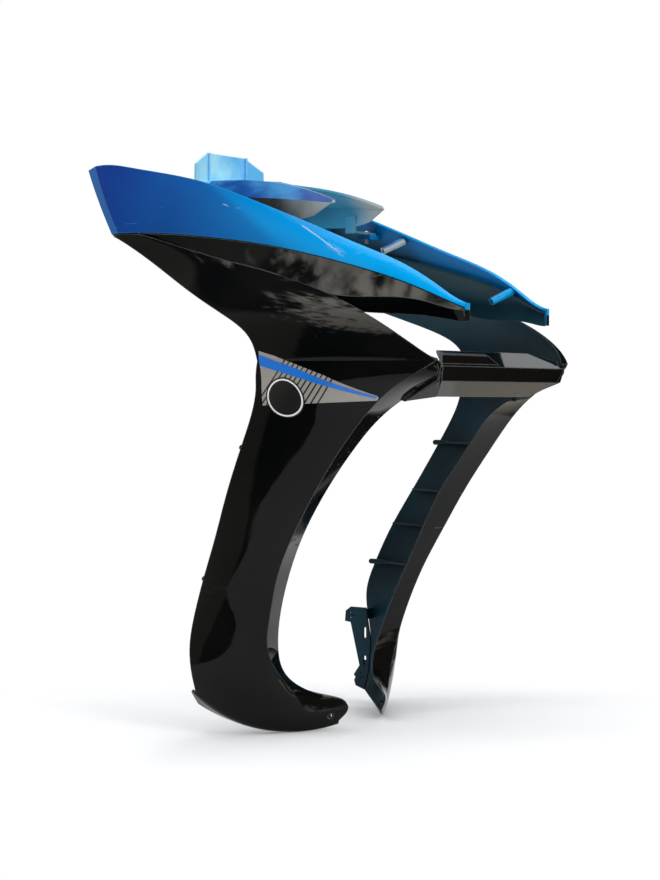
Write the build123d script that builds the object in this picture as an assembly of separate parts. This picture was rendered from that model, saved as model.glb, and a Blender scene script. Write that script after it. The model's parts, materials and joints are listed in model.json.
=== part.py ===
from build123d import *
import os

os.makedirs("parts", exist_ok=True)

# Frame: +X to the front of the motorcycle, +Y to its left, +Z up.
# The origin lies midway between the two foot screw holes.
# The right half is drawn, as half widths h outward from the middle plane; the left is its mirror.

# Walls and clearances
WALL = 2.5
SEAT = 0.3
LIP = 4.0
TUCK = 4.0
TUCK_GAP = 1.0
SEAM = 0.8
FILM = 0.3

# Foot screw holes and their bosses
FOOT_SPAN = 102.0
FOOT_HOLE_R = 2.75
FOOT_BOSS_R = 5.0
FOOT_BOSS = 3.2

# Inner mounting plate of each leg: two slots and two trios of small holes
PLATE_H = 119.0
SLOT_R = 2.0
SLOT_LENGTH = 13.0
SLOT_PITCH = 33.0
SLOT_AT = (-71.0, 53.5)
TRIO_R = 1.1
TRIO_PCD = 6.4
TRIOS = [(-90.0, 89.0), (-75.0, 20.0)]

# Locating pegs behind the rear edge of the leg
PEG_R = 3.0
PEG_IN = 6.0
PEG_LENGTH = 14.0

# Screws
SCREW_R = 2.4
SCREW_FIT = 0.15
SCREW_HEAD_R = 4.6
SCREW_HEAD = 2.6
SCREW_LENGTH = 12.0

# Printed film on the leg: wedge field, stripe, bars and the round badge
BADGE_AT = (46.0, 341.0)
BADGE_R = 20.5
RING_R = (17.3, 19.0)
BAR_COUNT = 11
BAR_START = 68.0
BAR_PITCH = 6.4
BAR_WIDTH = 1.7
BAR_LEAN = 0.85

# Front bridge
BRIDGE_H = 121.0
BRIDGE_PAD = (6.0, 117.0)

# Top cover
COVER_REAR = -190.0
COVER_FORK = -104.0
TAB_X = -183.0
TAB_HALF = 33.0
TAB_TOP = 617.0
TAB_BEND = 0.21

OUT = Vector(0, -1, 0)


def at(x, h, z):
    return Vector(x, -h, z)


def box(x, h, z):
    """A block between two x, two half widths and two heights, on the right side."""
    low, high = at(x[0], h[1], z[0]), at(x[1], h[0], z[1])
    return Pos(*((low + high) * 0.5)) * Box(*(high - low))


def side_plate(points, h):
    """A plate of the side view outline, between two half widths on the right side."""
    face = Face(Wire.make_polygon([at(x, h[0], z) for x, z in points]))
    return extrude(face, h[1] - h[0], OUT)


def rod(x, h, z, radius):
    """A round bar whose ends differ along one axis only."""
    a, b = at(x[0], h[0], z[0]), at(x[1], h[1], z[1])
    return Solid.make_cylinder(radius, (b - a).length, Plane(a, z_dir=b - a))


class Station:
    """One cross-section: rear or lower edge, crease, and the flange edge turned in from it."""

    def __init__(self, rear, front, edge=None, bulge=8.0, hint=OUT):
        self.rear, self.front = at(*rear), at(*front)
        chord = self.front - self.rear
        self.along = chord.normalized()
        self.out = (hint - self.along * hint.dot(self.along)).normalized()
        reach = at(*edge) - self.front if edge else self.out * -LIP
        run, width = reach.dot(self.along), reach.dot(self.out)
        self.edge = self.front + self.along * run + self.out * width
        half = chord.length / 2
        self.radius = (half * half + bulge * bulge) / (2 * bulge)
        self.middle = self.rear + chord * 0.5 + self.out * bulge
        self.centre = self.middle - self.out * self.radius

    def skin(self, point, grow):
        return self.centre + (point - self.centre).normalized() * (self.radius + grow)

    def arc(self, grow):
        return ThreePointArc(*[self.skin(p, grow) for p in (self.rear, self.middle, self.front)])

    def channel(self):
        """Skin and flange as one thin closed outline."""
        face = (self.front - self.centre).normalized()
        turn = (self.edge - self.front).normalized()
        ahead = (self.along - turn * self.along.dot(turn)).normalized()
        corner = self.front - (face + ahead) * (WALL / (1 + face.dot(ahead)))
        inner_edge = self.edge - ahead * WALL
        rear, middle = [self.skin(p, -WALL) for p in (self.rear, self.middle)]
        return Wire(
            [
                ThreePointArc(self.rear, self.middle, self.front),
                Line(self.front, self.edge),
                Line(self.edge, inner_edge),
                Line(inner_edge, corner),
                ThreePointArc(corner, middle, rear),
                Line(rear, self.rear),
            ]
        )

    def film(self, low, high):
        """A sheet lying on the skin between two heights above it."""
        top, bottom = self.arc(high), self.arc(low)
        return Wire([top, Line(top @ 1, bottom @ 1), bottom, Line(bottom @ 0, top @ 0)])

    def rib(self, depth, thickness):
        """A level web across the hollow of the section."""
        skin = self.arc(-WALL * 0.6)
        ends = [skin @ 1 - self.out * depth, skin @ 0 - self.out * (WALL / 2)]
        edges = [skin, Line(skin @ 1, ends[0]), Line(ends[0], ends[1]), Line(ends[1], skin @ 0)]
        return extrude(Face(Wire(edges)), thickness / 2, (0, 0, 1), both=True)


def ribbon(points, inward):
    """Thin closed outline: an open run of points in one plane, thickened to its inner side."""
    normal = (points[1] - points[0]).cross(inward).normalized()
    sides = [(b - a).cross(normal).normalized() for a, b in zip(points, points[1:])]
    sides = [s if s.dot(inward) > 0 else s * -1 for s in sides]
    inner = []
    for i, point in enumerate(points):
        a, b = sides[max(i - 1, 0)], sides[min(i, len(sides) - 1)]
        inner.append(point + (a + b) * (WALL / (1 + a.dot(b))))
    return Wire.make_polygon(points + inner[::-1])


def write(name, shape):
    export_step(shape, f"parts/{name}.step")
    return shape


def write_pair(name, shape):
    write(name + "_right", shape)
    write(name + "_left", mirror(shape, about=Plane.XZ))


def group(shapes):
    return Compound(children=[s for shape in shapes for s in shape.solids()])


# Leg panel: sections across the wing under the blade, then level sections down the leg to the foot
CORNER = Station((18, 198, 378), (190, 130, 378), (185, 123, 378), 16)
WING = [
    Station((-248, 117, 520.5), (-240, 119, 522.8), None, 0.3),
    Station((-225, 124, 512), (-203, 120.5, 520.0), None, 1.2),
    Station((-153, 140, 476), (-121, 126, 498), None, 3),
    Station((-85, 165, 445), (-44, 132, 479), None, 5),
    Station((-30, 186, 423), (25, 140, 461), None, 8),
    Station((4, 196, 404), (99, 151, 435), None, 11),
    Station((15, 198, 388), (155, 151, 405), None, 15),
    CORNER,
]
KNEE = Station((-12, 187, 290), (86, 147, 290), (77, 110, 290), 9)
SHIN = Station((-42, 176, 235), (46, 146, 235), (35, 112, 235), 9)
CALF = Station((-63, 166, 195), (21, 145, 195), (12, 114, 195), 9)
ANKLE = Station((-84, 160, 150), (-3, 139, 150), (-9, 111, 150), 10)
LEG = [
    CORNER,
    Station((13, 194, 352), (150, 146, 352), (161, 112, 352), 12),
    Station((6, 192, 325), (116, 145, 325), (110, 104, 325), 10),
    KNEE,
    SHIN,
    CALF,
    ANKLE,
    Station((-96, 159, 115), (-16, 132, 115), (-23, 105, 115), 11),
    Station((-97, 167, 75), (-26, 123, 75), (-34, 95, 75), 12),
    Station((-94, 166, 46), (-23, 105, 46), (-34.5, 81.5, 46), 14),
    Station((-96, 160, 30), (-13, 81, 14), (-12, 50, 15.8), 16, Vector(0, -1, -0.4)),
    Station((-104, 144, 15), (6, 40, -9), (4.5, 39, -6.5), 20, Vector(0, -0.75, -0.66)),
]

leg = Solid.make_loft([s.channel() for s in WING]) + Solid.make_loft([s.channel() for s in LEG])

# Stiffening ribs and the two locating pegs behind the rear edge
for station in (KNEE, SHIN, CALF, ANKLE):
    leg += station.rib(12, 2.4)
for station in (KNEE, ANKLE):
    x, h, z = station.rear.X, -station.rear.Y - PEG_IN, station.rear.Z
    leg += rod((x + PEG_LENGTH, x - PEG_R), (h, h), (z, z), PEG_R)
    leg += Pos(x - PEG_R, -h, z) * Sphere(PEG_R)

# Inner mounting plate with its web to the skin
PLATE = [(-99, 82), (-98, 94), (-91, 99), (-70, 99), (-63, 60), (-66, 26), (-72, 4), (-84, 8), (-86, 14)]
PLATE += [(-78, 30), (-91, 81)]
plate_h = (PLATE_H - WALL / 2, PLATE_H + WALL / 2)
plate = side_plate(PLATE, plate_h)
plate += box((-92, -89.5), (PLATE_H, 163.2), (82, 94))
cut_h = (PLATE_H - 3 * WALL, PLATE_H + 3 * WALL)
for z in (SLOT_AT[1] - SLOT_PITCH / 2, SLOT_AT[1] + SLOT_PITCH / 2):
    half = SLOT_LENGTH / 2 - SLOT_R
    plate -= box((SLOT_AT[0] - SLOT_R, SLOT_AT[0] + SLOT_R), cut_h, (z - half, z + half))
    for end in (z - half, z + half):
        plate -= rod((SLOT_AT[0],) * 2, cut_h, (end, end), SLOT_R)
for x, z in TRIOS:
    for spot in PolarLocations(TRIO_PCD / 2, 3):
        dx, dz = spot.position.X, spot.position.Y
        plate -= rod((x + dx,) * 2, cut_h, (z + dz,) * 2, TRIO_R)
leg += plate

# Ear that carries the bridge, and the boss of the foot screw
EAR = [(148, 356), (148, 389), (163, 386), (183, 380), (185, 372), (178, 364), (172, 357), (160, 352)]
EAR_H = (BRIDGE_H - WALL - SEAT, BRIDGE_H - SEAT)
BRIDGE_SCREWS = [(165.5, 373.5), (154.5, 377.5)]
leg += side_plate(EAR, EAR_H)
for x, z in BRIDGE_SCREWS:
    leg -= rod((x, x), (EAR_H[0] - 1, EAR_H[1] + 1), (z, z), SCREW_R + SCREW_FIT)
foot = FOOT_SPAN / 2
leg += rod((-FOOT_BOSS, 0), (foot, foot), (0, 0), FOOT_BOSS_R)
leg -= rod((-60, 30), (foot, foot), (0, 0), FOOT_HOLE_R)
write_pair("leg_panel", leg)

# Blade panel: sections from its lower border up to its top rim, rear end to tip
END = Station((-251, 116, 523), (-294, 107.5, 598), None, 2)
BLADE = [
    Station((-238, 120, 524), (-279, 112, 601.5), None, 3),
    Station((-213, 118.4, 523.3), (-234, 108.6, 598), None, 3),
    Station((-195, 117, 522.5), (-214, 106, 594), None, 3),
    Station((-130, 112, 516.5), (-140, 99, 578), None, 3),
    Station((-62, 108, 507), (-68, 94, 553), None, 3),
    Station((4, 104, 494), (2, 90, 526), None, 2.5),
    Station((63, 100, 479), (62, 88, 502), None, 2),
    Station((122, 95, 461), (121, 86, 478), None, 1.5),
    Station((161, 88, 445), (160, 82, 455), None, 1),
    Station((193, 81.5, 431.3), (192.5, 79.5, 436.3), None, 0.4),
]
blade = Solid.make_loft([s.channel() for s in BLADE])
blade += Solid.make_loft([END.channel(), BLADE[0].channel()], True)
blade += box((192, 194.4), (76.5, 81.8), (418, 436))

# Ledges inside the blade that carry the top cover
LEDGES = [((-130, -110), (88, 106.5), 537), ((-55, -37), (80, 99.8), 526)]
for x, h, top in LEDGES:
    blade += box(x, h, (top - 5, top))
    middle = (x[0] + x[1]) / 2
    blade -= rod((middle, middle), (h[0] + 6,) * 2, (top - 9, top + 9), SCREW_R + SCREW_FIT)
write_pair("blade_panel", blade)

# Trim strip under the blade: a tongue behind its border, a face flush with it, then turned under
TRIM = [(113.0, 2.6, 110.0, 13), (115.6, 5.5, 111.5, 17), (119.0, 17, 115, 30), (124.2, 25.3, 120, 38)]
TRIM += [(132, 29.4, 127, 43), (139.4, 32, 132, 46), (122, 18, 112, 35), (101, 8, 92, 23), (84, 2, 76.5, 14)]
sections = []
for station, (nose_h, nose_drop, base_h, base_drop) in zip(BLADE[1:], TRIM):
    x, z = station.rear.X, station.rear.Z
    down = Vector(station.along.X, 0, station.along.Z).normalized() * -1
    inward = Vector(0, WALL, 0)
    root = station.skin(station.rear, -WALL - TUCK_GAP) + down * SEAM
    tongue = root + station.along * min(TUCK, (station.front - station.rear).length / 4)
    nose = at(x, nose_h, z) + down * nose_drop
    base = at(x, base_h, z) + down * base_drop
    outer = [tongue, root, station.rear + down * SEAM, nose, base]
    sections.append(Wire.make_polygon(outer + [p + inward for p in (base, nose, root, tongue)]))
trim = Solid.make_loft(sections)
trim -= box((191.7, 230), (50, 120), (380, 460))
write_pair("blade_trim", trim)

# Front bridge: a folded shell between the two ears, cut back at an angle behind its front corners
BROW, NOSE, CHIN, KEEL = (163, 389), (191, 372.5), (185, 357.5), (164, 342)
fold = ribbon([Vector(x, 0, z) for x, z in (BROW, NOSE, CHIN, KEEL)], Vector(-1, 0, -0.2))
bridge = extrude(Face(fold), BRIDGE_H + 10, (0, 1, 0), both=True)

# Raised pad on the right half, falling away to the middle
PAD = [(168, 384), (170, 385.5), (185, 385.5), (187, 383.5), (187, 373.5), (170, 382)]
PAD_FALL = [(BRIDGE_PAD[0], 400), (BRIDGE_PAD[0], 374), (67, 400)]
pad = side_plate(PAD, BRIDGE_PAD)
bridge += pad - extrude(Face(Wire.make_polygon([at(150, h, z) for h, z in PAD_FALL])), 60, (1, 0, 0))
PLAN = [(135, 59), (NOSE[0], BRIDGE_H), (210, BRIDGE_H)]
PLAN += [(x, -h) for x, h in reversed(PLAN)]
plan = Face(Wire.make_polygon([Vector(x, y, 330) for x, y in PLAN]))
bridge &= extrude(plan, 80, (0, 0, 1))

# End walls behind the ears, and a gusset from the chin back to the edge of the leg
BRIDGE_WALL = [(150, 370), (150, 385), (163, 380), (172, 376), (180, 371.5), (189.3, 372)]
BRIDGE_WALL += [(184.5, 359.5), (177, 360), (168, 369)]
wall_h = (EAR_H[0] - SEAT - WALL, EAR_H[0] - SEAT)
wall = side_plate(BRIDGE_WALL, wall_h)
for x, z in BRIDGE_SCREWS:
    wall -= rod((x, x), (wall_h[0] - 1, wall_h[1] + 1), (z, z), SCREW_R + SCREW_FIT)
CORNERS = [(184.5, 116.5, 357.5), (163, 88, 342), (136.5, 105.5, 337.5), (158, 107, 351)]
chin_end, keel_end, tail, side = [at(*corner) for corner in CORNERS]
for triangle in ([chin_end, keel_end, tail], [chin_end, tail, side]):
    web = Face(Wire.make_polygon(triangle))
    wall += extrude(web, WALL * 1.3, (0, 0, 1))
bridge += wall
bridge += mirror(wall, about=Plane.XZ)
write("front_bridge", bridge)

# Top cover: a crowned shell forked round the steering stem, with an upright tab at the rear
COVER = [
    (COVER_REAR, (62, 548), (70, 563), (42, 584), 586),
    (-100, (58, 536), (66, 560), (40, 580), 582),
    (-40, (55, 533), (59.5, 554.5), (44, 568), 570),
    (3, (49, 544.5), (50.5, 549.5), (47, 553), 554),
]
sections = []
for x, flank, crease, ridge, crown in COVER:
    half = [at(x, *flank), at(x, *crease), at(x, *ridge)]
    run = half + [Vector(x, 0, crown)] + [Vector(p.X, -p.Y, p.Z) for p in reversed(half)]
    sections.append(run)
cover = Solid.make_loft([Wire.make_polygon(run) for run in sections])
hollow = []
for (x, flank, crease, ridge, crown) in COVER:
    half = [at(x, flank[0] - WALL, flank[1] - 9), at(x, crease[0] - WALL, crease[1] - 1.2)]
    half.append(at(x, ridge[0] - 1, ridge[1] - WALL - 0.6))
    run = half + [Vector(x, 0, crown - WALL)] + [Vector(p.X, -p.Y, p.Z) for p in reversed(half)]
    hollow.append(Wire.make_polygon(run))
cover -= Solid.make_loft(hollow)
fork = [(COVER_FORK, 0), (COVER_FORK, 22), (COVER_FORK + 12, 30), (-40, 38), (12, 44), (12, 0)]
fork += [(x, -y) for x, y in reversed(fork[1:-1])]
cover -= extrude(Face(Wire.make_polygon([Vector(x, y, 480) for x, y in fork])), 140, (0, 0, 1))
nose = [(-30, 530), (4, 550.5), (20, 550.5), (20, 520), (-30, 520)]
cover -= extrude(Face(Wire.make_polygon([Vector(x, -90, z) for x, z in nose])), 180, (0, 1, 0))

# Upright tab: a flat middle between two wings bent forward, with a rib at each bend
TAB_FOOT = 564
WING_TAB = [(TAB_HALF, TAB_FOOT), (TAB_HALF, TAB_TOP), (61, 602.5), (62.5, TAB_FOOT)]
middle = [Vector(TAB_X, y, z) for y in (-TAB_HALF, TAB_HALF) for z in (TAB_FOOT, TAB_TOP)]
tab = extrude(Face(Wire.make_polygon([middle[0], middle[1], middle[3], middle[2]])), WALL, (1, 0, 0))
for half in (1, -1):
    run = [Vector(TAB_X + (h - TAB_HALF) * TAB_BEND, half * h, z) for h, z in WING_TAB]
    tab += extrude(Face(Wire.make_polygon(run)), WALL, (1, 0, 0))
    rib_z = (TAB_FOOT + TAB_TOP) / 2
    tab += Pos(TAB_X + WALL + 1, half * TAB_HALF, rib_z) * Box(5, WALL, TAB_TOP - TAB_FOOT)
KEEP = [(-75, TAB_FOOT), (-42, 583.5), (42, 583.5), (75, TAB_FOOT), (75, 630), (-75, 630)]
keep = Face(Wire.make_polygon([Vector(TAB_X - 5, y, z) for y, z in KEEP]))
cover += tab & extrude(keep, 30, (1, 0, 0))

# Arms of the cover, resting on the ledges of the blades
ARM_REACH = [(56.5, 100), (54, 94)]
cover_seats = []
for (x, h, top), reach in zip(LEDGES, ARM_REACH):
    spot, out = (x[0] + x[1]) / 2, h[0] + 6
    width = (x[0] + 2, x[1] - 2)
    arm = box(width, reach, (top, top + WALL)) + box(width, (reach[0], reach[0] + WALL), (top, 545))
    arm -= rod((spot, spot), (out, out), (top - 5, top + 9), SCREW_R + SCREW_FIT)
    cover += arm
    cover += mirror(arm, about=Plane.XZ)
    cover_seats.append(at(spot, out, top + WALL))
write("top_cover", cover)


# Screws: a domed head and a shank, point along the given direction
def screw(seat, point):
    shank = Solid.make_cylinder(SCREW_R, SCREW_LENGTH, Plane(seat, z_dir=point))
    head = Solid.make_cylinder(SCREW_HEAD_R, SCREW_HEAD, Plane(seat, z_dir=point * -1))
    body = shank + head
    rim = body.edges().filter_by(GeomType.CIRCLE).filter_by(lambda e: e.radius > SCREW_R + 1)
    far = rim.sort_by(lambda e: -abs((e.center() - seat).dot(point)))[0]
    return fillet(far, SCREW_HEAD * 0.6)


right = [screw(at(x, EAR_H[1], z), Vector(0, 1, 0)) for x, z in BRIDGE_SCREWS]
write("bridge_screws", group(right + [mirror(s, about=Plane.XZ) for s in right]))
right = [screw(seat, Vector(0, 0, -1)) for seat in cover_seats]
write("cover_screws", group(right + [mirror(s, about=Plane.XZ) for s in right]))

# Printed film, cut from one sheet over the wing and the top of the leg
sheet = Solid.make_loft([s.film(-FILM, FILM) for s in WING])
sheet += Solid.make_loft([s.film(-FILM, FILM) for s in LEG])
sheet -= leg
DEPTH = (120, 230)
FIELD = [(21, 387.5), (40, 383), (90, 363.5), (133, 342), (133, 340), (130, 338), (67, 335), (21, 333)]
STRIPE = [(21, 384.6), (59, 371.5), (131, 342), (129, 340.2), (59, 362.5), (21, 373.4)]
stripe = side_plate(STRIPE, DEPTH)
disc = rod((BADGE_AT[0],) * 2, DEPTH, (BADGE_AT[1],) * 2, BADGE_R)
ring = rod((BADGE_AT[0],) * 2, DEPTH, (BADGE_AT[1],) * 2, RING_R[1])
ring -= rod((BADGE_AT[0],) * 2, DEPTH, (BADGE_AT[1],) * 2, RING_R[0])
bars = None
for i in range(BAR_COUNT):
    x = BAR_START + i * BAR_PITCH
    run = [(x, 400), (x + BAR_WIDTH, 400), (x + BAR_WIDTH - 80 * BAR_LEAN, 320), (x - 80 * BAR_LEAN, 320)]
    bar = side_plate(run, DEPTH)
    bars = bar if bars is None else bars + bar
field = side_plate(FIELD, DEPTH) & sheet
bars = (field & bars) - stripe - disc
write_pair("decal_stripe", (field & stripe) - disc)
write_pair("decal_bars", group([bars]))
write_pair("decal_field", group([field - stripe - bars - disc]))
badge = disc & sheet
write_pair("badge_ring", badge & ring)
write_pair("badge_disc", group([badge - ring]))
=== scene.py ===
# %% [markdown]
# # Leg shield fairing of an underbone motorcycle
# The real object is a shell of thin mouldings: two black legs, two blue blades, a bridge and a cover.
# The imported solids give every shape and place, so this lesson adds finishes, small hardware and light.
# X points to the front, Y to the left and Z up. Lengths are in metres, and colours are linear.

# %% Load the fixed frame
import json
import math
from functools import reduce

import bmesh
import bpy
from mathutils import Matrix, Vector
from mathutils.bvhtree import BVHTree


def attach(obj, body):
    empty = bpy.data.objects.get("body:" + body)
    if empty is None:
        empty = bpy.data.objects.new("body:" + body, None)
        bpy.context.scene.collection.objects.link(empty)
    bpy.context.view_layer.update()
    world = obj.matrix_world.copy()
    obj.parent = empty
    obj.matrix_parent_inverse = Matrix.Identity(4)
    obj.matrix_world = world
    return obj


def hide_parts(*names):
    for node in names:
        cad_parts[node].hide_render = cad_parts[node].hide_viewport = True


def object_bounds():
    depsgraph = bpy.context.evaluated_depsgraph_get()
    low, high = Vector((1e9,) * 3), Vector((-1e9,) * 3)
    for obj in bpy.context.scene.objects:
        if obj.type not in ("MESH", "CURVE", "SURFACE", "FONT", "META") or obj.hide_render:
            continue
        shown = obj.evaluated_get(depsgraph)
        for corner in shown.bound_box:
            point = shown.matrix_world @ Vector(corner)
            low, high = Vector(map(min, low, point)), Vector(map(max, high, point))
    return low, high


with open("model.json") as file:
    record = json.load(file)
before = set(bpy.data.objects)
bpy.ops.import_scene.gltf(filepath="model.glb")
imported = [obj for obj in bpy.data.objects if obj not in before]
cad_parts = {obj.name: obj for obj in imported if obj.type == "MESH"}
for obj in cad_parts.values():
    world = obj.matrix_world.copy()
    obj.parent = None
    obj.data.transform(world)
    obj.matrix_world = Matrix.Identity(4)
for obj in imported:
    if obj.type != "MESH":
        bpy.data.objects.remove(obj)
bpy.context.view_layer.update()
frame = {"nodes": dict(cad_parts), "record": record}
nodes = frame["nodes"]
SIDES = (("right", -1), ("left", 1))
print("nodes in the frame:", len(nodes))

# %% [markdown]
# ## Shader sums as Python sums
# A finish is mostly arithmetic on masks: a noise, cut at a level, times a distance from an edge.
# One could place each Math node by hand, but a small class that wraps a socket lets the sums read as sums.

# %% A socket that takes part in sums
class Tone:
    """A node's socket. Operators add Math nodes, and node() adds any other node beside it."""

    def __init__(self, socket):
        self.socket = socket

    def node(self, kind, settings=None, inputs=None, out=0):
        tree = self.socket.id_data
        made = tree.nodes.new(kind)
        for name, value in (settings or {}).items():
            setattr(made, name, value)
        for name, value in (inputs or {}).items():
            if isinstance(value, Tone):
                tree.links.new(value.socket, made.inputs[name])
            else:
                made.inputs[name].default_value = value
        return Tone(made.outputs[out])

    def math(self, operation, *values):
        return self.node("ShaderNodeMath", {"operation": operation}, dict(enumerate(values)))

    def __add__(self, other):
        return self.math("ADD", self, other)

    def __radd__(self, other):
        return self.math("ADD", other, self)

    def __sub__(self, other):
        return self.math("SUBTRACT", self, other)

    def __rsub__(self, other):
        return self.math("SUBTRACT", other, self)

    def __mul__(self, other):
        return self.math("MULTIPLY", self, other)

    def __rmul__(self, other):
        return self.math("MULTIPLY", other, self)

    def __truediv__(self, other):
        return self.math("DIVIDE", self, other)

    def __rtruediv__(self, other):
        return self.math("DIVIDE", other, self)

    def larger(self, other):
        return self.math("MAXIMUM", self, other)

    def over(self, low, high):
        """0 below low, 1 above high, smooth between; low may be the larger."""
        smooth = {"interpolation_type": "SMOOTHSTEP"}
        limits = {"From Min": min(low, high), "From Max": max(low, high)}
        step = self.node("ShaderNodeMapRange", smooth, {"Value": self, **limits})
        return step if low < high else 1 - step

    def axis(self, letter):
        return self.node("ShaderNodeSeparateXYZ", inputs={"Vector": self}, out=letter)

    def noise(self, scale, detail=3.0, stretch=(1, 1, 1)):
        """Even noise on this vector, in features per metre, drawn out by stretch."""
        placed = self.node("ShaderNodeMapping", inputs={"Vector": self, "Scale": stretch})
        return self.node("ShaderNodeTexNoise", inputs={"Vector": placed, "Scale": scale, "Detail": detail})

    def specks(self, scale, size):
        """Small round spots, 1 inside."""
        cell = self.node("ShaderNodeTexVoronoi", inputs={"Vector": self, "Scale": scale}, out="Distance")
        return cell.over(size, size * 0.6)


# %% Colours
MIX_FACTOR, MIX_LOW, MIX_HIGH, MIX_RESULT = 0, 6, 7, 2


def colour(value):
    """A plain colour gets its alpha, and a socket stays as it is."""
    return value if isinstance(value, Tone) else (*value, 1.0)


def tint(mask, low, high):
    """Colour low where the mask is 0 and high where it is 1."""
    inputs = {MIX_FACTOR: mask, MIX_LOW: colour(low), MIX_HIGH: colour(high)}
    return mask.node("ShaderNodeMix", {"data_type": "RGBA"}, inputs, MIX_RESULT)


# %% [markdown]
# ## One surface for each finish
# Every finish is a plain Principled surface, so one function makes it and links only what varies.
# Real mouldings have rounded edges and two sides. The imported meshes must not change, so a Bevel node rounds
# the edges in the shading alone, and a mask tells the side that shows from the hollow side.

# %% Make a finish
FINISHES = {}
BEVEL = {"samples": 4}
EDGE_TURN = (0.97, 0.80)
FRONT_SHARE, SHOWN_FROM = 1.2, (-0.10, 0.06)


def finish(name, build, fixed=None):
    """Makes a material. build(place, facing) returns the sockets that vary; fixed ones are plain numbers."""
    material = bpy.data.materials.new(name)
    material.use_nodes = True
    tree = material.node_tree
    surface = tree.nodes["Principled BSDF"]
    where = tree.nodes.new("ShaderNodeTexCoord")
    varied = build(Tone(where.outputs["Object"]), Tone(where.outputs["Normal"]))
    for socket, value in (fixed or {}).items():
        surface.inputs[socket].default_value = value
    for socket, tone in varied.items():
        tree.links.new(tone.socket, surface.inputs[socket])
    print("finish:", name, "with", len(tree.nodes), "shader nodes")
    return material


def relief(height, strength, depth, radius=0.0):
    """Bump from a height, over edges that are rounded by radius in the shading."""
    inputs = {"Height": height, "Strength": strength, "Distance": depth}
    if radius:
        inputs["Normal"] = height.node("ShaderNodeBevel", BEVEL, {"Radius": radius})
    return height.node("ShaderNodeBump", inputs=inputs)


def edges(facing, radius):
    """1 along edges that are sharper than the radius, 0 on open faces."""
    rounded = facing.node("ShaderNodeBevel", BEVEL, {"Radius": radius})
    straight = facing.node("ShaderNodeNewGeometry", out="Normal")
    pair = {0: rounded, 1: straight}
    same = facing.node("ShaderNodeVectorMath", {"operation": "DOT_PRODUCT"}, pair, "Value")
    return same.over(*EDGE_TURN)


def show_side(place, facing):
    """1 on the side that is seen when the shield is mounted, 0 on the hollow side."""
    across = place.axis("Y")
    outward = facing.axis("Y") * across.math("SIGN", across)
    return (outward + facing.axis("X") * FRONT_SHARE).over(*SHOWN_FROM)


# %% [markdown]
# ## Black gloss moulding
# The legs, the trim and the bridge are moulded in black plastic and polished on the show side.
# The hollow side is a satin dark teal where blue overspray settled. One finish serves both sides,
# because the moulding is one piece, and the mask comes from where the surface faces. A web at the rear
# faces ahead but belongs to the hollow side, so it is taken out of the mask.

# %% Black moulding
INK, SMOKE = (0.0018, 0.0021, 0.0022), (0.0040, 0.0040, 0.0036)
DUST, PAINTED_EDGE_HIGHLIGHT = (0.30, 0.29, 0.26), (0.34, 0.36, 0.37)
SOOT, TEAL, WING_TEAL = (0.0030, 0.0140, 0.0210), (0.0045, 0.0360, 0.0560), (0.006, 0.052, 0.078)
MOULDED_EDGE = 0.0016
WEB_FACING, WEB_BEHIND = (0.85, 0.95), (-0.080, -0.084)
WING_ABOVE = (0.36, 0.44)
HAIR_STRETCH = (0.25, 1.0, 5.0)
BLACK_SHINE = {"IOR": 1.5, "Specular IOR Level": 0.16}


def black_gloss(place, facing):
    web = facing.axis("X").over(*WEB_FACING) * place.axis("X").over(*WEB_BEHIND)
    shown = show_side(place, facing) * (1 - web)
    cloud = place.noise(9.0, 2.0).over(0.35, 0.65)
    haze = place.noise(34.0, 4.0).over(0.40, 0.70)
    grains = place.specks(150.0, 0.055) * place.noise(14.0).over(0.52, 0.62)
    hairs = place.noise(60.0, 2.0, HAIR_STRETCH).over(0.655, 0.675)
    hairs = hairs * place.noise(11.0).over(0.50, 0.60)
    outside = tint(cloud, INK, SMOKE)
    outside = tint(grains * 0.55, outside, DUST)
    # Pale lines along the edges are painted highlights of the rounded edges.
    outside = tint(edges(facing, MOULDED_EDGE) * 0.55, outside, PAINTED_EDGE_HIGHLIGHT)
    inside = tint(place.noise(6.0, 4.0).over(0.35, 0.68), SOOT, TEAL)
    inside = tint(place.axis("Z").over(*WING_ABOVE) * 0.8, inside, WING_TEAL)
    polished = 0.045 + haze * 0.04 + hairs * 0.20 + grains * 0.4
    satin = 0.40 + place.noise(120.0, 4.0) * 0.16
    height = place.noise(520.0, 2.0) * (1 - shown) + hairs * -0.4 + grains * 0.6
    return {
        "Base Color": tint(shown, inside, outside),
        "Roughness": polished * shown + satin * (1 - shown),
        "Normal": relief(height, strength=0.18, depth=0.0006, radius=MOULDED_EDGE),
    }


FINISHES["black_gloss"] = finish("Black moulding", black_gloss, BLACK_SHINE)

# %% [markdown]
# ## Blue paint
# The blades are sprayed metallic blue, deep at the rear. The lighter blue towards the front and past a
# slanting line is a painted reflection of the sky, and the lighter strip at the rear end, where the blade
# turns in, is painted light. The lowest part of the tip is black. Inside, the spray fades to bare dark
# plastic.
# Noise could give all the wear, but the plain scratches have their own places, so each is drawn as a line.

# %% Scratches on the right blade
SCRATCH_WANDER, SCRATCH_START, SCRATCH_END = 0.004, 0.004, 0.008
RIGHT_BLADE = (-0.02, -0.04)
# each has its two ends, its width, the noise levels that break it, and how far it is worn
SCRATCHES = [
    ((-0.004, 0.524), (0.052, 0.490), 0.0009, (0.30, 0.45), 0.80),
    ((0.030, 0.503), (0.058, 0.488), 0.0042, (0.46, 0.62), 0.55),
    ((-0.104, 0.551), (-0.092, 0.546), 0.0008, (0.30, 0.45), 0.70),
]


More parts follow.
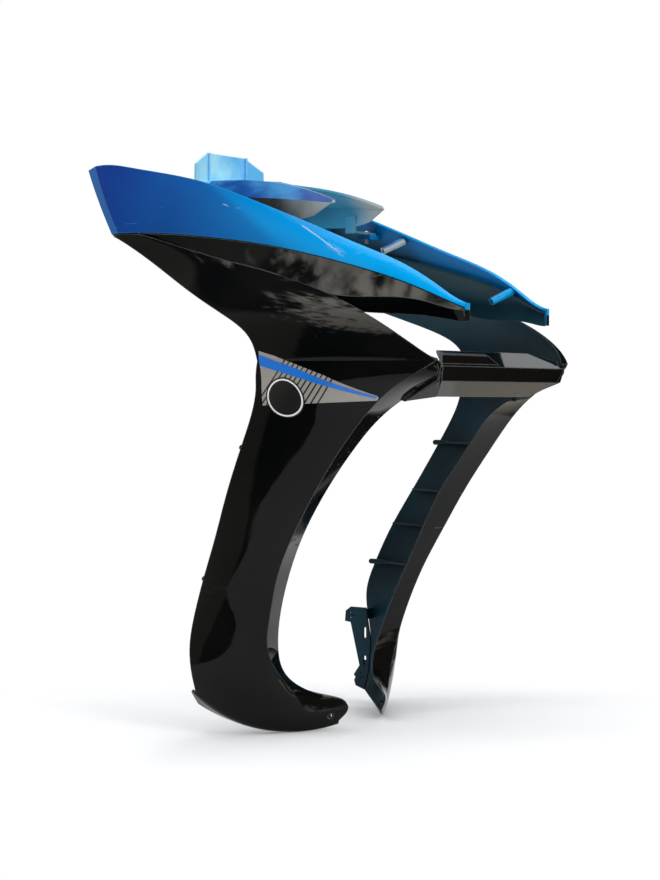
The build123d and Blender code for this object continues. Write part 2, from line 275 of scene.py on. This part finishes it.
def streak(place, start, end, width, broken):
    """A worn line on the right blade between two points of the side view."""
    run = Vector((end[0] - start[0], end[1] - start[1]))
    ahead = run.normalized()
    x, z = place.axis("X") - start[0], place.axis("Z") - start[1]
    along = x * ahead.x + z * ahead.y
    across = z * ahead.x - x * ahead.y + (place.noise(30.0, 2.0) - 0.5) * SCRATCH_WANDER
    line = across.math("ABSOLUTE", across).over(width, width * 0.3)
    ends = along.over(0.0, SCRATCH_START) * along.over(run.length, run.length - SCRATCH_END)
    return line * ends * place.axis("Y").over(*RIGHT_BLADE) * place.noise(900.0, 3.0).over(*broken)


print("scratches:", len(SCRATCHES))

# %% Blue paint
NAVY, AZURE, FLAKE_AND_HIGHLIGHT_BLUE = (0.000, 0.022, 0.205), (0.000, 0.350, 0.780), (0.01, 0.46, 0.88)
REAR_END_PAINTED_LIGHT, BARE = (0.012, 0.110, 0.360), (0.52, 0.62, 0.72)
INNER_DARK, INNER_BLUE = (0.005, 0.028, 0.040), (0.0, 0.21, 0.56)
HIGHLIGHT_EDGE, PAINT_EDGE = 0.0022, 0.0012
BLADE_RUN = (-0.26, 0.14)
REFLECTION_SLANT, REFLECTION_LINE = 1.44, (0.690, 0.712)
REAR_SLANT, REAR_LINE = 0.529, (0.0394, 0.0386)
TIP_AHEAD, TIP_BELOW = (0.1900, 0.1908), (0.4300, 0.4285)
SPRAY_SLANT, SPRAY_LINE = 0.42, (0.500, 0.545)
SCUFF_STRETCH = (0.3, 1.0, 3.0)
BLUE_SHINE = {"IOR": 1.5, "Specular IOR Level": 0.15, "Coat Weight": 0.15, "Coat Roughness": 0.03}


def blue_paint(place, facing):
    x, z = place.axis("X"), place.axis("Z")
    shown = show_side(place, facing)
    flake = place.noise(2600.0, 1.0).over(0.60, 0.75)
    scuffs = place.noise(70.0, 3.0, SCUFF_STRETCH).over(0.70, 0.73)
    chips = place.specks(75.0, 0.06) * place.noise(12.0).over(0.58, 0.66)
    worn = reduce(Tone.larger, [streak(place, *line) * depth for *line, depth in SCRATCHES])
    # A painted reflection of the sky: the blade is lighter past this slanting line.
    front = (x + z * REFLECTION_SLANT).over(*REFLECTION_LINE)
    rear = (x + z * REAR_SLANT).over(*REAR_LINE)
    tip = x.over(*TIP_AHEAD) * z.over(*TIP_BELOW)
    # Deep blue at the rear turning lighter ahead is mostly a painted sky reflection; the noise is the paint's
    # random tone.
    tone_and_painted_reflection = x.over(*BLADE_RUN) * 0.72 + front * 0.20 + place.noise(7.0, 2.0) * 0.3 - 0.15
    coat = tint(tone_and_painted_reflection, NAVY, AZURE)
    # The strip at the rear end, where the blade turns in, is painted lighter: painted light on the turned
    # end.
    coat = tint(rear, coat, REAR_END_PAINTED_LIGHT)
    # Flake sparkle is the paint's own; the pale lines along the edges are painted highlights.
    coat = tint(flake * 0.16 + edges(facing, HIGHLIGHT_EDGE) * 0.45, coat, FLAKE_AND_HIGHLIGHT_BLUE)
    coat = tint(tip, coat, INK)
    coat = tint(chips * 0.6 + scuffs * 0.12 + worn * 0.75, coat, BARE)
    sprayed = z + x * SPRAY_SLANT + place.noise(16.0) * 0.03
    inside = tint(sprayed.over(*SPRAY_LINE), INNER_DARK, INNER_BLUE)
    height = chips * -1.0 + scuffs * -0.2 + worn * -0.5
    return {
        "Base Color": tint(shown, inside, coat),
        "Roughness": (0.09 + scuffs * 0.25 + chips * 0.4 + worn * 0.35) * shown + 0.36 * (1 - shown),
        "Normal": relief(height, strength=0.25, depth=0.0006, radius=PAINT_EDGE),
    }


FINISHES["blue_paint"] = finish("Blue paint", blue_paint, BLUE_SHINE)

# %% [markdown]
# ## Cover paint
# The cover was sprayed blue over pale plastic. The crown took the most, the tab and the flanks little.
# Masks could be painted by hand, but the way a face points and its place are enough to tell these parts.

# %% Cover paint
CROWN, CROWN_PALE = (0.000, 0.050, 0.240), (0.030, 0.200, 0.450)
SILVER, SLATE, MIST = (0.46, 0.52, 0.52), (0.040, 0.044, 0.042), (0.06, 0.32, 0.52)
TAB, TAB_BLUE = (0.46, 0.88, 0.97), (0.14, 0.55, 0.90)
TAB_SIDE, TAB_EDGE_HIGHLIGHT = (0.02, 0.40, 0.86), (0.62, 0.93, 0.98)
FLANK_RUN, HOLLOW_RUN = (-0.02, 0.055), (-0.02, 0.05)
TAB_BEHIND, TAB_ABOVE = (-0.168, -0.172), (0.560, 0.572)
COVER_SHINE = {"IOR": 1.45, "Specular IOR Level": 0.22, "Coat Weight": 0.06, "Coat Roughness": 0.12}


def cover_paint(place, facing):
    upper = facing.axis("Z").over(0.25, 0.60)
    drift = place.noise(14.0, 4.0)
    ahead = place.axis("X") + drift * 0.09
    crown = tint(drift.over(0.42, 0.66), CROWN, CROWN_PALE)
    flank = tint(ahead.over(*FLANK_RUN), SLATE, SILVER)
    hollow = tint(ahead.over(*HOLLOW_RUN), MIST, SILVER)
    outward = place.axis("Y") * facing.axis("Y")
    flank = tint(outward.over(0.004, -0.004), flank, hollow)
    body = tint(upper, flank, crown)
    tab = tint(drift.over(0.46, 0.68), TAB, TAB_BLUE)
    tab = tint(facing.axis("Y").over(-0.30, -0.60) * 0.7, tab, TAB_SIDE)
    # Pale lines along the tab's edges are painted highlights.
    tab = tint(edges(facing, HIGHLIGHT_EDGE) * 0.7, tab, TAB_EDGE_HIGHLIGHT)
    upright = place.axis("X").over(*TAB_BEHIND) * place.axis("Z").over(*TAB_ABOVE)
    return {
        "Base Color": tint(upright, body, tab),
        "Roughness": 0.16 + drift * 0.22 + upright * 0.2,
        "Normal": relief(place.noise(420.0, 3.0), strength=0.06, depth=0.0005, radius=PAINT_EDGE),
    }


FINISHES["cover_paint"] = finish("Cover paint", cover_paint, COVER_SHINE)

# %% [markdown]
# ## Printed films and screws
# The films are satin vinyl with a faint printing grain, and they differ only in colour, so one function
# makes them all. The screws are zinc plated, with a cloudy bloom.

# %% Films and zinc
VINYLS = {
    "grey_film": ("Grey film", (0.300, 0.275, 0.245), (0.40, 0.37, 0.335)),
    "blue_film": ("Blue film", (0.000, 0.155, 0.640), (0.010, 0.21, 0.72)),
    "black_film": ("Black film", (0.006, 0.006, 0.006), (0.020, 0.020, 0.020)),
    "white_film": ("White film", (0.80, 0.80, 0.79), (0.90, 0.90, 0.89)),
}
ZINC_DARK, ZINC_PALE = (0.34, 0.34, 0.33), (0.62, 0.61, 0.58)
FINE_DEPTH = 0.0003


def film(base, lighter):
    """The build function of a vinyl that wears from its base colour to a lighter one."""
    def build(place, facing):
        grain = place.noise(900.0, 2.0)
        worn = place.noise(45.0, 4.0).over(0.58, 0.80)
        return {
            "Base Color": tint(grain * 0.5 + worn * 0.5, base, lighter),
            "Roughness": 0.26 + worn * 0.22 + grain * 0.06,
            "Normal": relief(grain, strength=0.05, depth=FINE_DEPTH),
        }

    return build


def zinc(place, facing):
    bloom = place.noise(260.0, 4.0)
    return {
        "Base Color": tint(bloom.over(0.35, 0.70), ZINC_DARK, ZINC_PALE),
        "Roughness": 0.24 + bloom * 0.22,
        "Normal": relief(bloom, strength=0.12, depth=FINE_DEPTH),
    }


for slot, (name, base, lighter) in VINYLS.items():
    FINISHES[slot] = finish(name, film(base, lighter))
FINISHES["zinc_steel"] = finish("Zinc plate", zinc, {"Metallic": 1.0})

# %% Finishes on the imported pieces
for part in frame["record"]["subparts"]:
    materials = nodes[part["node"]].data.materials
    materials.clear()
    materials.append(FINISHES[part["material_slot"]])

# %% [markdown]
# ## Pieces of the scene
# Every piece that is added below belongs to the one rigid body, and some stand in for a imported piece.
# They are all hung on the frame in the same way, so one function does it and no piece misses a step.

# %% Add a piece
def on_side(point, side):
    """A point or a direction of the left half, on the given side."""
    x, y, z = point
    return (x, side * y, z)


def mesh_of(work, name):
    mesh = bpy.data.meshes.new(name)
    work.to_mesh(mesh)
    work.free()
    return mesh


def add_piece(name, mesh, slot, node=None, wall=None):
    """Adds a mesh as a piece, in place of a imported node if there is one, with a wall if it is a sheet."""
    if not mesh.materials:
        mesh.materials.append(FINISHES[slot])
    piece = bpy.data.objects.new(name, mesh)
    bpy.context.scene.collection.objects.link(piece)
    if wall:
        piece.modifiers.new("wall", "SOLIDIFY").thickness = wall
    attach(piece, "root")
    if node:
        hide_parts(node)
    print(name, "faces:", len(mesh.polygons))


# %% [markdown]
# ## Films on the leg
# The print is thin film that follows the leg: a grey wedge, black bars, a blue stripe and a round badge.
# Each outline is drawn flat in the side view, cut into small cells, and every corner is then dropped on the
# leg by a ray. A Shrinkwrap modifier would do much the same, but a ray keeps the outline true in the side
# view. The print is in layers, so each one lies a tenth of a millimetre above the last.

# %% Lay films on the skin
FILM_CELL, FILM_GAP, FILM_STEP = 0.004, 0.00022, 0.0001
RAY_START = 0.4


def all_parts(work):
    return work.verts[:] + work.edges[:] + work.faces[:]


def flat_faces(outlines):
    """Flat faces in the side view, cut into cells so that they can bend."""
    work = bmesh.new()
    for outline in outlines:
        work.faces.new([work.verts.new((x, 0.0, z)) for x, z in outline])
    for axis in (0, 2):
        normal = [float(i == axis) for i in range(3)]
        values = [v.co[axis] for v in work.verts]
        for step in range(math.ceil(min(values) / FILM_CELL), math.ceil(max(values) / FILM_CELL)):
            level = [step * FILM_CELL * share for share in normal]
            bmesh.ops.bisect_plane(work, geom=all_parts(work), plane_co=level, plane_no=normal)
    return work


def keep_inside(work, outline):
    """Cuts the faces off outside a convex outline that runs clockwise in the side view."""
    for a, b in zip(outline, outline[1:] + outline[:1]):
        cut = {"plane_co": (a[0], 0.0, a[1]), "plane_no": (a[1] - b[1], 0.0, b[0] - a[0])}
        bmesh.ops.bisect_plane(work, geom=all_parts(work), clear_outer=True, **cut)


def lay_film(work, skin, side, gap):
    """A copy of the flat faces, dropped on the skin from one side and held off it by the gap."""
    laid = work.copy()
    for corner in laid.verts:
        start = Vector((corner.co.x, side * RAY_START, corner.co.z))
        spot, normal, _, _ = skin.ray_cast(start, Vector((0, -side, 0)))
        corner.co = spot + normal * gap
    for face in laid.faces:
        face.smooth = True
    bmesh.ops.recalc_face_normals(laid, faces=laid.faces)
    if sum(face.normal.y * side for face in laid.faces) < 0:
        bmesh.ops.reverse_faces(laid, faces=laid.faces)
    return laid


# %% Outlines of the films
WEDGE = [(0.0205, 0.3880), (0.040, 0.383), (0.090, 0.3635), (0.1315, 0.3427)]
WEDGE += [(0.1315, 0.3405), (0.1290, 0.3380), (0.067, 0.335), (0.0205, 0.333)]
STRIPE = [(0.0205, 0.3848), (0.059, 0.3715), (0.131, 0.342)]
STRIPE += [(0.129, 0.3402), (0.059, 0.3625), (0.0205, 0.3735)]
BAR_COUNT, BAR_START, BAR_PITCH, BAR_WIDTH, BAR_LEAN = 11, 0.068, 0.0064, 0.0017, 0.85
BAR_TOP, BAR_FOOT = 0.400, 0.320
BADGE_X, BADGE_Z, BADGE_R = 0.046, 0.341, 0.0205
RIM_INNER_R, RIM_OUTER_R, BADGE_CORNERS = 0.0173, 0.0190, 72


def turns(count):
    return [2 * math.pi * i / count for i in range(count)]


def circle(radius):
    angles = turns(BADGE_CORNERS)
    return [(BADGE_X + radius * math.sin(a), BADGE_Z + radius * math.cos(a)) for a in angles]


def rim_cells():
    near, far = circle(RIM_INNER_R), circle(RIM_OUTER_R)
    return [[near[i - 1], far[i - 1], far[i], near[i]] for i in range(BADGE_CORNERS)]


def leaning_bar(number):
    near = BAR_START + number * BAR_PITCH
    far = near + BAR_WIDTH
    lean = (BAR_TOP - BAR_FOOT) * BAR_LEAN
    return [(near, BAR_TOP), (far, BAR_TOP), (far - lean, BAR_FOOT), (near - lean, BAR_FOOT)]


# %% Films on both legs
hatching = flat_faces([leaning_bar(number) for number in range(BAR_COUNT)])
keep_inside(hatching, WEDGE)
FILMS = [
    ("grey_wedge", "decal_field", "grey_film", flat_faces([WEDGE])),
    ("hatching", "decal_bars", "black_film", hatching),
    ("blue_stripe", "decal_stripe", "blue_film", flat_faces([STRIPE])),
    ("badge", "badge_disc", "black_film", flat_faces([circle(BADGE_R)])),
    ("badge_rim", "badge_ring", "white_film", flat_faces(rim_cells())),
]
for label, side in SIDES:
    leg = nodes["leg_panel_" + label].data
    leg_skin = BVHTree.FromPolygons([v.co for v in leg.vertices], [tuple(p.vertices) for p in leg.polygons])
    for layer, (name, node, slot, flat_film) in enumerate(FILMS):
        laid_film = lay_film(flat_film, leg_skin, side, FILM_GAP + layer * FILM_STEP)
        sided = f"{name}_{label}"
        add_piece(sided, mesh_of(laid_film, sided), slot, f"{node}_{label}")

# %% [markdown]
# ## Cross head screws
# Eight equal screws hold the bridge and the cover. One screw is made inside a node tree, a domed head with
# a cross recess over a threaded shank, and set on a point for each seat, so all eight change together.

# %% Parts of a screw
HEAD_SIDES, HEAD_RINGS, HEAD_TOP, HEAD_DOME = 40, 10, 0.25, 0.93
SHANK_SIDES, COIL_STEPS, RIDGE_SIDES, THREAD_FOOT = 24, 20, 4, -0.96
DIFFERENCE = {"operation": "DIFFERENCE", "solver": "EXACT"}


def vector(x, y, z):
    return x.node("ShaderNodeCombineXYZ", inputs={"X": x, "Y": y, "Z": z})


def raised(mesh, height):
    lift = mesh.node("ShaderNodeCombineXYZ", inputs={"Z": height})
    return mesh.node("GeometryNodeSetPosition", inputs={"Geometry": mesh, "Offset": lift})


def gather(made, socket, parts):
    """Links several parts to the one socket of a node that takes them all."""
    for part in parts:
        made.socket.id_data.links.new(part.socket, made.socket.node.inputs[socket])
    return made


def screw_head(given):
    """A cone swelled to a dome, with two crossed bars cut out of its top."""
    radius, height = given["Head radius"], given["Head height"]
    disc = {"Vertices": HEAD_SIDES, "Side Segments": HEAD_RINGS, "Depth": height}
    disc |= {"Radius Top": radius * HEAD_TOP, "Radius Bottom": radius}
    cone = radius.node("GeometryNodeMeshCone", inputs=disc, out="Mesh")
    place = radius.node("GeometryNodeInputPosition")
    climb = place.axis("Z") / height
    left_over = 1 - climb * climb * HEAD_DOME
    swell = left_over.math("SQRT", left_over) / (1 - climb * (1 - HEAD_TOP))
    shape = vector(place.axis("X") * swell, place.axis("Y") * swell, place.axis("Z"))
    dome = radius.node("GeometryNodeSetPosition", inputs={"Geometry": cone, "Position": shape})
    long, narrow = given["Recess length"], given["Recess width"]
    crossed = []
    for size in (vector(long, narrow, height), vector(narrow, long, height)):
        bar = radius.node("GeometryNodeMeshCube", inputs={"Size": size}, out="Mesh")
        crossed.append(raised(bar, height))
    cut = radius.node("GeometryNodeMeshBoolean", DIFFERENCE, {"Mesh 1": dome}, "Mesh")
    return gather(cut, "Mesh 2", crossed)


def screw_shank(given):
    """A rod and the thread round it, both below the head."""
    length, core, pitch = given["Shank length"], given["Shank radius"], given["Thread pitch"]
    rod = {"Vertices": SHANK_SIDES, "Radius": core, "Depth": length}
    shank = length.node("GeometryNodeMeshCylinder", inputs=rod, out="Mesh")
    coil = {"Resolution": COIL_STEPS, "Rotations": length / pitch - 2, "Height": length - pitch * 2}
    coil |= {"Start Radius": core, "End Radius": core}
    helix = length.node("GeometryNodeCurveSpiral", inputs=coil)
    ridge = {"Resolution": RIDGE_SIDES, "Radius": given["Thread height"]}
    profile = length.node("GeometryNodeCurvePrimitiveCircle", inputs=ridge)
    sweep = {"Curve": helix, "Profile Curve": profile, "Fill Caps": True}
    thread = length.node("GeometryNodeCurveToMesh", inputs=sweep)
    return raised(shank, length * -0.5), raised(thread, length * THREAD_FOOT)


# %% A screw as a node tree
SCREW_SIZES = {
    "Head radius": 0.0046,
    "Head height": 0.0026,
    "Shank radius": 0.0021,
    "Shank length": 0.012,
    "Recess width": 0.0011,
    "Recess length": 0.0052,
    "Thread pitch": 0.0012,
    "Thread height": 0.00028,
}


def screw_tree():
    tree = bpy.data.node_groups.new("Cross head screws", "GeometryNodeTree")
    asked = [("Geometry", "INPUT", "NodeSocketGeometry")]
    asked += [(name, "INPUT", "NodeSocketFloat") for name in SCREW_SIZES]
    asked += [("Material", "INPUT", "NodeSocketMaterial"), ("Geometry", "OUTPUT", "NodeSocketGeometry")]
    for name, way, kind in asked:
        socket = tree.interface.new_socket(name, in_out=way, socket_type=kind)
        if name in SCREW_SIZES:
            socket.default_value = SCREW_SIZES[name]
    given = {s.name: Tone(s) for s in tree.nodes.new("NodeGroupInput").outputs if s.name}
    seats = given["Geometry"]
    screw = gather(seats.node("GeometryNodeJoinGeometry"), 0, (screw_head(given), *screw_shank(given)))
    vectors = {"data_type": "FLOAT_VECTOR"}
    outward = seats.node("GeometryNodeInputNamedAttribute", vectors, {"Name": "outward"}, "Attribute")
    turned = seats.node("FunctionNodeAlignRotationToVector", {"axis": "Z"}, {"Vector": outward})
    at_seats = {"Points": seats, "Instance": screw, "Rotation": turned}
    row = seats.node("GeometryNodeInstanceOnPoints", inputs=at_seats)
    real = seats.node("GeometryNodeRealizeInstances", inputs={"Geometry": row})
    plated = {"Geometry": real, "Material": given["Material"]}
    dressed = seats.node("GeometryNodeSetMaterial", inputs=plated)
    tree.links.new(dressed.socket, tree.nodes.new("NodeGroupOutput").inputs["Geometry"])
    return tree


SCREWS = screw_tree()
print("screw tree:", len(SCREWS.nodes), "nodes")

# %% Set the screws on their seats
EAR_FACE = 0.1207
BRIDGE_SEATS = [(0.1655, EAR_FACE, 0.3735), (0.1545, EAR_FACE, 0.3775)]
COVER_SEATS = [(-0.120, 0.094, 0.5395), (-0.046, 0.086, 0.5285)]
LEFT, UP = (0, 1, 0), (0, 0, 1)


def set_screws(name, node, seats, outward):
    """Screws on both sides. The seats and the way that the heads face are those of the left side."""
    cloud = bpy.data.meshes.new(name + "_seats")
    cloud.from_pydata([on_side(seat, side) for _, side in SIDES for seat in seats], [], [])
    aims = [float(value) for _, side in SIDES for _ in seats for value in on_side(outward, side)]
    cloud.attributes.new("outward", "FLOAT_VECTOR", "POINT").data.foreach_set("vector", aims)
    holder = bpy.data.objects.new(name + "_seats", cloud)
    bpy.context.scene.collection.objects.link(holder)
    screws = holder.modifiers.new("screws", "NODES")
    screws.node_group = SCREWS
    for socket in SCREWS.interface.items_tree:
        if socket.name == "Material":
            screws[socket.identifier] = FINISHES["zinc_steel"]
    made = bpy.data.meshes.new_from_object(holder.evaluated_get(bpy.context.evaluated_depsgraph_get()))
    bpy.data.objects.remove(holder)
    add_piece(name, made, "zinc_steel", node)


set_screws("bridge_cross_screws", "bridge_screws", BRIDGE_SEATS, LEFT)
set_screws("cover_cross_screws", "cover_screws", COVER_SEATS, UP)

# %% [markdown]
# ## Tail of the trim
# Behind its last section the trim thins to a tail that closes the seam between blade and leg. It is only a
# strip a few millimetres high, so a handful of points, given a wall by Solidify, is enough.

# %% Trim tails
SHEET_WALL = 0.0015
# each has its x and y, and the heights of its lower and upper edge
TAIL = [
    (-0.2535, 0.1118, 0.5225, 0.5250),
    (-0.2460, 0.1122, 0.5200, 0.5242),
    (-0.2380, 0.1136, 0.5190, 0.5262),
    (-0.2250, 0.1146, 0.5180, 0.5262),
    (-0.2145, 0.1148, 0.5170, 0.5256),
]


def add_sheets(name, points, faces):
    """A thin black sheet on each side, from points of the left side."""
    for label, side in SIDES:
        sheet = bpy.data.meshes.new(f"{name}_{label}")
        sheet.from_pydata([on_side(point, side) for point in points], [], [face[::-side] for face in faces])
        add_piece(f"{name}_{label}", sheet, "black_gloss", wall=SHEET_WALL)


tail_points = [(x, y, z) for x, y, *heights in TAIL for z in heights]
tail_faces = [(2 * i, 2 * i + 2, 2 * i + 3, 2 * i + 1) for i in range(len(TAIL) - 1)]
add_sheets("trim_tail", tail_points, tail_faces)

# %% [markdown]
# ## Pegs inside the blades
# Two moulded pegs stand on the inner face of each blade, one near the tip and one at mid length. Each is a
# short tapered tube, so it is turned from a profile of radius against length and then aimed inward.

# %% Blade pegs
PEG_AIM = (-0.012, -0.024, -0.012)
# each has its radius and how far along the peg it lies
PEG_PROFILE = [(0.0000, 0.00), (0.0046, 0.00), (0.0042, 1.00), (0.0024, 1.00), (0.0022, 0.55), (0.0000, 0.55)]
PEGS = {
    "front_pegs": ((0.147, 0.0845, 0.4565), "blue_paint"),
    "rear_pegs": ((0.001, 0.0912, 0.5175), "cover_paint"),
}
PEG_SIDES, SAME_POINT = 20, 1e-6


def turn_peg(work, root, aim):
    """Turns the profile about the line of aim, starting at the root."""
    tilt = aim.to_track_quat("Z", "Y")
    rings = []
    for radius, reach in PEG_PROFILE:
        spots = [(radius * math.cos(a), radius * math.sin(a), reach * aim.length) for a in turns(PEG_SIDES)]
        rings.append([work.verts.new(root + tilt @ Vector(spot)) for spot in spots])
    for lower, upper in zip(rings, rings[1:]):
        for i in range(PEG_SIDES):
            work.faces.new([lower[i - 1], lower[i], upper[i], upper[i - 1]])


for name, (root, slot) in PEGS.items():
    pegs = bmesh.new()
    for _, side in SIDES:
        turn_peg(pegs, Vector(on_side(root, side)), Vector(on_side(PEG_AIM, side)))
    bmesh.ops.remove_doubles(pegs, verts=pegs.verts, dist=SAME_POINT)
    bmesh.ops.recalc_face_normals(pegs, faces=pegs.faces)
    add_piece(name, mesh_of(pegs, name), slot)

# %% [markdown]
# ## Laps at the ends of the bridge
# A lap of sheet closes the seam where each end of the bridge meets the corner of the leg, and runs on down
# the edge of the leg as a facet. A strip behind it backs the gap. Flat faces between a few points are enough,
# with the same wall as the trim tail.

# %% Bridge laps
LAP = [(0.1780, 0.1206, 0.3775), (0.1875, 0.1220, 0.3780), (0.1904, 0.1216, 0.3740), (0.1854, 0.1208, 0.3580)]
LAP += [(0.1575, 0.1126, 0.3523), (0.1365, 0.1055, 0.3375), (0.1310, 0.1070, 0.3395)]
LAP += [(0.1760, 0.1190, 0.3660)]
BACKING = [(0.1835, 0.1195, 0.3620), (0.1850, 0.1110, 0.3615), (0.1630, 0.0860, 0.3460)]
BACKING += [(0.1570, 0.0930, 0.3455)]
# corners are counted through the lap and on through its backing
LAP_FACES = [(0, 1, 2, 3, 7), (7, 3, 4), (3, 5, 4), (4, 5, 6), (8, 9, 10, 11)]
add_sheets("bridge_lap", LAP + BACKING, LAP_FACES)

# %% [markdown]
# ## Floor
# The shield stands on plain white. The floor is pale and keeps the soft shadow near the feet, and further
# out it turns to the same white as the room, so that no horizon shows. A brighter floor would do that too,
# but it would also take the shadow away.

# %% Floor
FLOOR_SPAN, SHADOW_REACH = 1.04, (0.28, 0.50)
PAPER, WHITE = (0.86, 0.86, 0.86), (1, 1, 1)
LOOKING_RAYS = ("Is Camera Ray", "Is Glossy Ray", "Is Transmission Ray")
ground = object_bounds()[0][2]
bpy.ops.mesh.primitive_plane_add(size=FLOOR_SPAN, location=(0, 0, ground))
floor = bpy.context.object
floor.name = "floor"


def seen_directly(tone):
    """1 for rays that look: from the camera, or by way of a mirror or glass."""
    return reduce(Tone.larger, [tone.node("ShaderNodeLightPath", out=ray) for ray in LOOKING_RAYS])


def floor_paper():
    """Matt paper near the feet, and further out a white glow for the rays that look."""
    paper = bpy.data.materials.new("Floor paper")
    paper.use_nodes = True
    tree = paper.node_tree
    tree.nodes.clear()
    place = Tone(tree.nodes.new("ShaderNodeTexCoord").outputs["Object"])
    matt = place.node("ShaderNodeBsdfDiffuse", inputs={"Color": colour(PAPER)})
    glow = place.node("ShaderNodeEmission", inputs={"Color": colour(WHITE), "Strength": 1.0})
    distance = place.node("ShaderNodeVectorMath", {"operation": "LENGTH"}, {0: place}, "Value")
    far = distance.over(*SHADOW_REACH) * seen_directly(place)
    mixed = place.node("ShaderNodeMixShader", inputs={0: far, 1: matt, 2: glow})
    tree.links.new(mixed.socket, tree.nodes.new("ShaderNodeOutputMaterial").inputs["Surface"])
    return paper


floor.data.materials.append(floor_paper())
print("floor at", round(ground, 4))

# %% [markdown]
# ## Room
# Gloss black shows the room more than itself, so the room is drawn for the rays that mirrors send out.
# A bright ceiling, a window ahead and a white backdrop behind the shield draw its edges. Two walls and the
# far floor are weaker, and the rest is dim, which keeps the faces black. A picture of a real room would do
# as well, but a few masks on the direction of a ray are easier to change. The camera sees plain white, and
# matt surfaces get an even grey light.

# %% Room
DIM, EVEN_GREY = (0.018, 0.019, 0.021), (0.55, 0.56, 0.58)
REAR_WALL, FRONT_WALL = (0.40, 0.38, 0.32), (0.12, 0.10, 0.08)
WINDOW, CEILING = (3.0, 2.9, 2.5), (3.4, 3.2, 2.9)
BACKDROP, FAR_FLOOR = (0.95, 0.97, 1.0), (0.84, 0.78, 0.68)


def mirrored_room(ray):
    """The colour of the room in the direction that a mirrored ray takes."""
    ahead, aside, up = (ray.axis(letter) for letter in "XYZ")
    ripple = ray.noise(3.0, 4.0) - 0.5
    dapple = ray.noise(15.0, 6.0) - 0.5
    wavy = ahead + ripple * 0.06
    lintel = up.over(0.40, 0.55) * (aside + ripple * 0.2).over(-0.24, -0.12)
    behind = (aside - ahead * 0.8 + ripple * 1.2).over(0.80, 1.10)
    far_floor = (up + dapple * 0.03).over(-0.43, -0.47) * aside.over(0.72, 0.80)
    layers = [
        (wavy.over(-0.27, -0.33) * (1 - lintel), REAR_WALL),
        (wavy.over(0.30, 0.44), FRONT_WALL),
        ((ahead + dapple * 0.5).over(0.94, 1.02), WINDOW),
        (behind * up.over(-0.16, -0.02), BACKDROP),
        (far_floor, FAR_FLOOR),
        ((up + dapple * 0.42).over(0.88, 0.98), CEILING),
    ]
    room = DIM
    for mask, shade in layers:
        room = tint(mask, room, shade)
    return room


world = bpy.data.worlds.new("Studio")
bpy.context.scene.world = world
world.use_nodes = True
studio = world.node_tree
studio.nodes.clear()
looking = Tone(studio.nodes.new("ShaderNodeTexCoord").outputs["Generated"])
by_camera = looking.node("ShaderNodeLightPath", out="Is Camera Ray")
by_mirror = seen_directly(looking) - by_camera
seen = tint(by_camera, tint(by_mirror, EVEN_GREY, mirrored_room(looking)), WHITE)
surround = looking.node("ShaderNodeBackground", inputs={"Color": seen, "Strength": 1.0})
studio.links.new(surround.socket, studio.nodes.new("ShaderNodeOutputWorld").inputs["Surface"])
print("room:", len(studio.nodes), "shader nodes")

# %% [markdown]
# ## Lamps
# Four large soft lamps shape the matt surfaces and throw the shadow. Mirrors do not show them, because the
# room already gives the gloss its highlights.

# %% Lamps
# each has its place, its width and height, and its power in watts
LAMPS = {
    "lamp_top": ((0.1, -0.3, 2.3), (2.2, 2.2), 32.0),
    "lamp_key": ((-1.7, -2.0, 1.9), (1.3, 1.3), 18.0),
    "lamp_front": ((2.2, -0.6, 1.2), (0.7, 1.6), 16.0),
    "lamp_back": ((-0.8, 2.2, 1.5), (1.4, 1.0), 16.0),
}
LAMPS_AIM = Vector((-0.03, 0.0, 0.30))
for name, (stand, size, power) in LAMPS.items():
    light = bpy.data.lights.new(name, "AREA")
    light.shape = "RECTANGLE"
    light.size, light.size_y = size
    light.energy = power
    lamp = bpy.data.objects.new(name, light)
    lamp.location = stand
    lamp.rotation_euler = (LAMPS_AIM - Vector(stand)).to_track_quat("-Z", "Y").to_euler()
    lamp.visible_glossy = False
    bpy.context.scene.collection.objects.link(lamp)
print("lamps:", ", ".join(LAMPS))

# %% [markdown]
# ## Camera
# The photograph looks level at the right front of the shield, from about two metres. A view could be framed
# by eye, but this one was fitted to points of the photograph, so it is kept as two angles and a distance.

# %% Camera
AZIMUTH, ELEVATION, DISTANCE = math.radians(36.0), math.radians(1.0), 2.300
TARGET = Vector((-0.035, 0.0, 0.295))
SENSOR_MM, LENS_MM = 36.0, 85.54
level = math.cos(ELEVATION)
toward = Vector((math.sin(AZIMUTH) * level, -math.cos(AZIMUTH) * level, math.sin(ELEVATION)))
lens = bpy.data.cameras.new("camera")
lens.sensor_fit = "VERTICAL"
lens.sensor_height = SENSOR_MM
lens.lens = LENS_MM
camera = bpy.data.objects.new("camera", lens)
camera.location = TARGET + toward * DISTANCE
camera.rotation_euler = (-toward).to_track_quat("-Z", "Y").to_euler()
bpy.context.scene.collection.objects.link(camera)
bpy.context.scene.camera = camera
bpy.context.scene.view_settings.view_transform = "Standard"
print("camera at", [round(value, 3) for value in camera.location])
